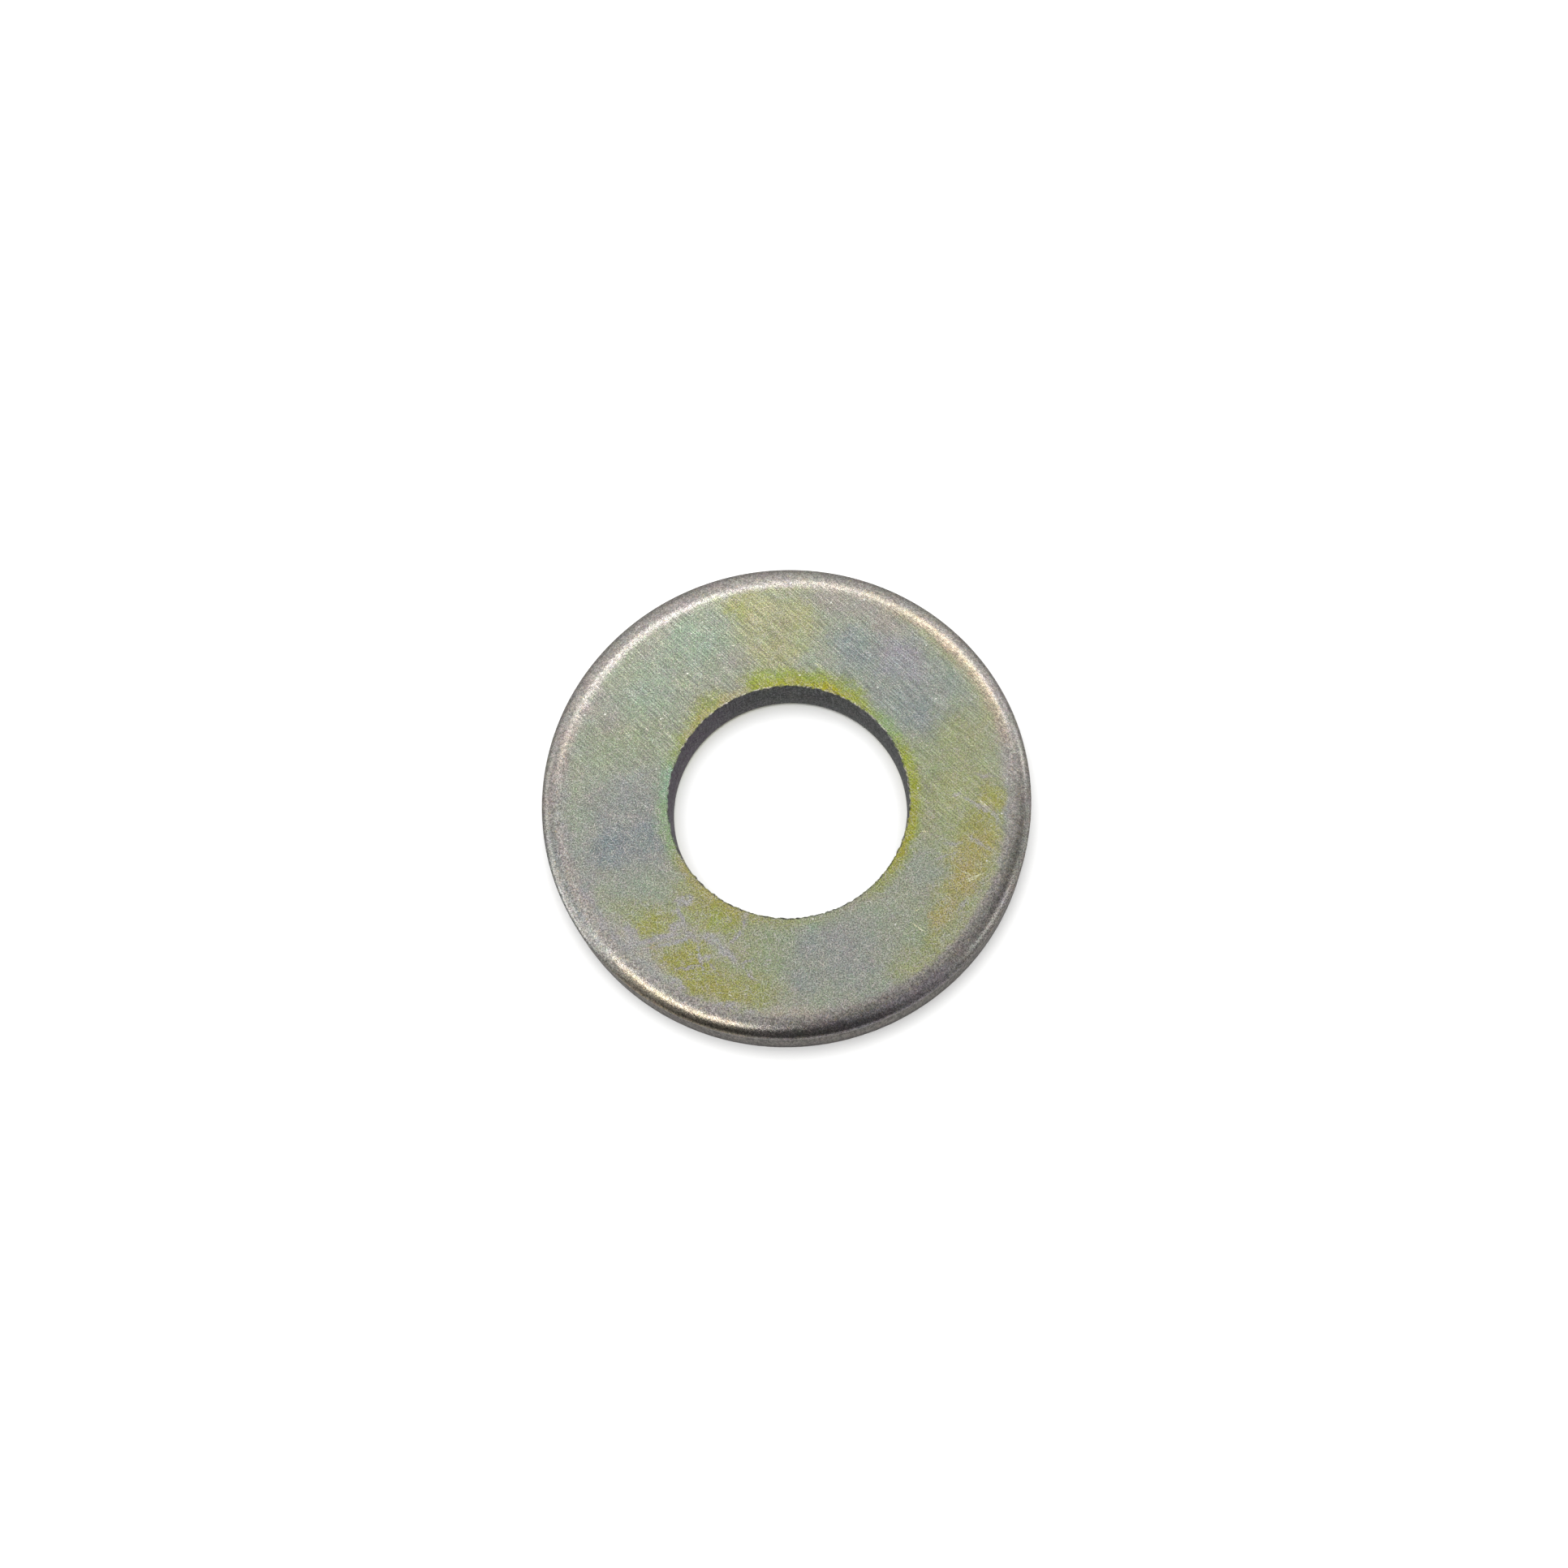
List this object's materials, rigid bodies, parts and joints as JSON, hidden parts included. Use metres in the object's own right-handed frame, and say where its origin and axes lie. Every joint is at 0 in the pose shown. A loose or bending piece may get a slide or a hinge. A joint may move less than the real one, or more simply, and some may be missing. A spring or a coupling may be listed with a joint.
{
  "type": "flat washer",
  "caption": "Round stamped steel flat washer: a plain flat ring with a plain central bolt hole and a rounded upper outer edge.",
  "frame": {"origin": "centre of the underside bearing face, on the washer's axis", "axes": "+Z along the washer's axis, out of the face with the rounded outer edge; X and Y lie in the bearing plane, and the ring is alike all round"},
  "size_m": [0.0276, 0.0276, 0.003],
  "materials": {
    "yellow_zinc": "zinc plated steel with a satin yellow chromate film that shifts between olive, green and blue-grey"
  },
  "bodies": {
    "root": {"washer": "yellow_zinc"}
  },
  "joints": []
}
